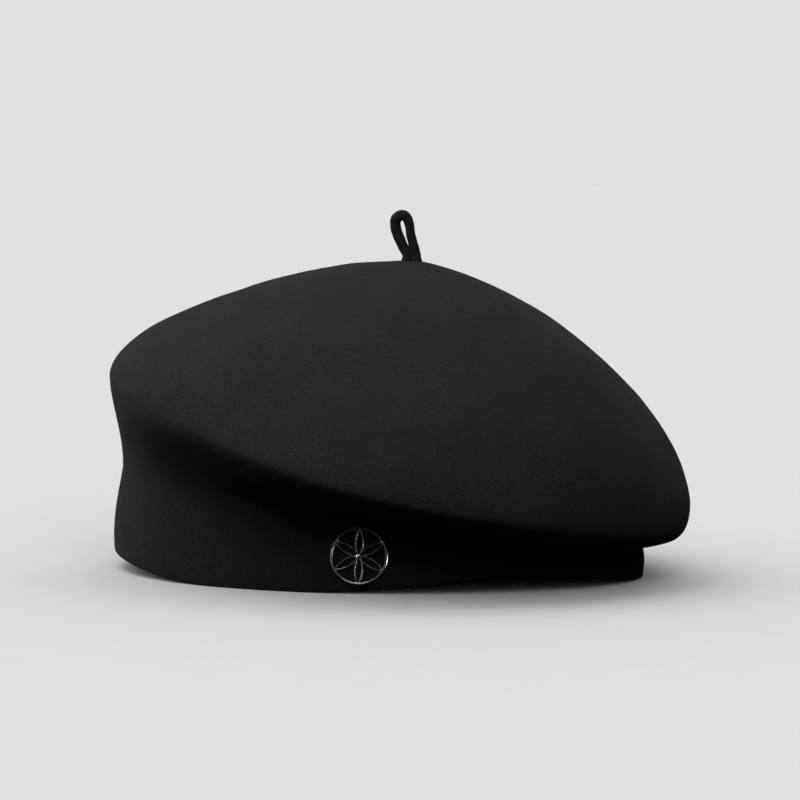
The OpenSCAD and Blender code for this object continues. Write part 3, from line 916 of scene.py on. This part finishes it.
def make_care_label():
    """A tape folded in two, with its two ends sewn to the ribbon near the ribbon's free edge."""
    place = Spot(CARE_A, CARE_HINGE_H, CARE_CLEAR)
    drop = np.linspace(0, CARE_H - 0.4, 50)
    turn = np.linspace(0, 180, 14)
    belly = 0.35*np.sin(np.pi*drop/CARE_H)
    x = np.concatenate([-CARE_T/2 + 0.2 + 0*drop, -CARE_T/2 + 0.2*cos(turn[1:-1]),
                        (-CARE_T/2 - 0.2 - belly)[::-1]])
    z = np.concatenate([-drop, -CARE_H + 0.4 - 0.2*sin(turn[1:-1]), -drop[::-1]])
    path = place(x, 0, CARE_HINGE_H + z)
    across = np.broadcast_to(place.way(0, 1, 0), path.shape)
    grid = strip(path, across, CARE_W/2, 0.26, rib_depth=0.0, slices=21)
    label = Shell().grid(grid, wrap_rows=True, caps=True).make(
        "care_label_tape", LABEL, body=None, slot="label", replaces=["care_label"])
    hinge = place(-CARE_T/2, 0, CARE_HINGE_H)
    tuple((hinge + up(0.5))*MM)
    tuple((hinge - up(1.5))*MM)
    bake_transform(label)
    work = Shell()
    seam = Spot(CARE_A, CARE_HINGE_H, THREAD_R + 0.5)
    for i in range(-2, 3):
        t = np.linspace(-1, 1, 9)
        thread(work, seam(0.25 - 0.35*cos(90*t), 3*i + 1.0*t, CARE_HINGE_H + 0.8))
    work.make("care_label_thread", THREAD, slot="thread", replaces=["care_label_stitches"])


make_maker_label()
make_size_patch()
make_care_label()

# ---- floor and light ----

FLOOR_R = 6.0                   # metres
FLOOR_TONE = 0.753              # how bright the lit floor and the wall behind it look
FLOOR_ALBEDO = 0.78
SKY = 0.012

# lamps of the hat: name, way towards the lamp, size in metres and power
LAMP_DISTANCE = 1.6
CLOTH_LAMPS = (("left_box", (-0.77, 0, 0.64), 1.7, 9),
               ("top_box", (-0.47, 0.05, 0.88), 1.5, 17),
               ("front_box", (0, -0.65, 0.75), 1.4, 13))
BADGE_LAMPS = (("badge_left", (-0.95, -0.3, 0.05), 0.7, 36),
               ("badge_right", (0.95, -0.3, 0.05), 0.7, 36),
               ("badge_front", (-0.2, -0.75, 0.65), 0.5, 6))
# suns of the floor: name, way towards the sun, spread in degrees and share of the floor's light
FLOOR_SUNS = (("floor_dome", (-0.1, 0, 1), 165, 0.34),
              ("floor_key", (-0.75, -0.15, 0.65), 70, 0.2),
              ("floor_back", (-0.1, 0.8, 0.6), 80, 0.31),
              ("floor_front", (0.1, -0.9, 0.4), 40, 0.15))


def stage_piece(name, verts, faces, material):
    mesh = bpy.data.meshes.new(name)
    mesh.from_pydata(verts, [], faces)
    mesh.materials.append(material)
    piece = bpy.data.objects.new(name, mesh)
    bpy.context.scene.collection.objects.link(piece)
    piece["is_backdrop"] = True
    return piece


def make_floor():
    """A wide round floor and a bright round wall that shows to the camera alone."""
    paper = Nodes("floor_paper")
    paper.link(paper.ramp(paper.noise(60, 2), (0.3, grey(FLOOR_ALBEDO - 0.005)),
                          (0.7, grey(FLOOR_ALBEDO + 0.005))), paper.shader.inputs["Base Color"])
    paper.set(Roughness=1.0, Specular_IOR_Level=0.0)
    turn = np.linspace(0, 360, 96, endpoint=False)
    rim = points(FLOOR_R*cos(turn), FLOOR_R*sin(turn), 0)
    floor = stage_piece("floor", rim.tolist(), [list(range(len(turn)))], paper.material)
    glow = Nodes("wall_glow")
    glow.set(Base_Color=(0, 0, 0, 1), Specular_IOR_Level=0.0, Emission_Strength=1.0,
             Emission_Color=(FLOOR_TONE, FLOOR_TONE, FLOOR_TONE, 1))
    n = len(turn)
    wall = stage_piece("wall", (rim + up(-0.02)).tolist() + (rim + up(5)).tolist(),
                       [(i, (i + 1) % n, n + (i + 1) % n, n + i) for i in range(n)], glow.material)
    floor.visible_diffuse = floor.visible_glossy = False
    wall.visible_diffuse = wall.visible_glossy = wall.visible_shadow = False
    return floor


def only_lights(lamp, pieces):
    """The lamp lights these pieces alone; everything still casts its shadow."""
    lit = bpy.data.collections.new(lamp.name + "_lights")
    for piece in pieces:
        lit.objects.link(piece)
    lamp.light_linking.receiver_collection = lit


def add_lamp(name, kind, at, aim, **values):
    data = bpy.data.lights.new(name, kind)
    for key, value in values.items():
        setattr(data, key, value)
    lamp = bpy.data.objects.new(name, data)
    bpy.context.scene.collection.objects.link(lamp)
    lamp.location = at
    lamp.rotation_euler = (Vector(aim) - Vector(at)).to_track_quat("-Z", "Y").to_euler()
    return lamp


def make_light(floor):
    scene = bpy.context.scene
    scene.view_settings.view_transform = "Standard"
    world = bpy.data.worlds.new("studio")
    world.use_nodes = True
    sky = world.node_tree.nodes["Background"]
    sky.inputs["Color"].default_value = (1, 1, 1, 1)
    sky.inputs["Strength"].default_value = SKY
    scene.world = world
    badge = [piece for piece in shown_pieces() if piece.name.startswith("badge")]
    cloth = [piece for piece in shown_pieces() if piece not in badge]
    for lamps, lit in ((CLOTH_LAMPS, cloth), (BADGE_LAMPS, badge)):
        for name, way, size, power in lamps:
            lamp = add_lamp(name, "AREA", Vector(way)*LAMP_DISTANCE, (0, 0, 0.05),
                            shape="RECTANGLE", size=size, size_y=size, energy=power)
            only_lights(lamp, lit)
    needed = (FLOOR_TONE/FLOOR_ALBEDO - SKY)*math.pi
    for name, way, spread, share in FLOOR_SUNS:
        steepness = Vector(way).normalized().z
        sun = add_lamp(name, "SUN", Vector(way)*2, (0, 0, 0), energy=needed*share/steepness,
                       angle=math.radians(spread))
        only_lights(sun, [floor])


make_light(make_floor())
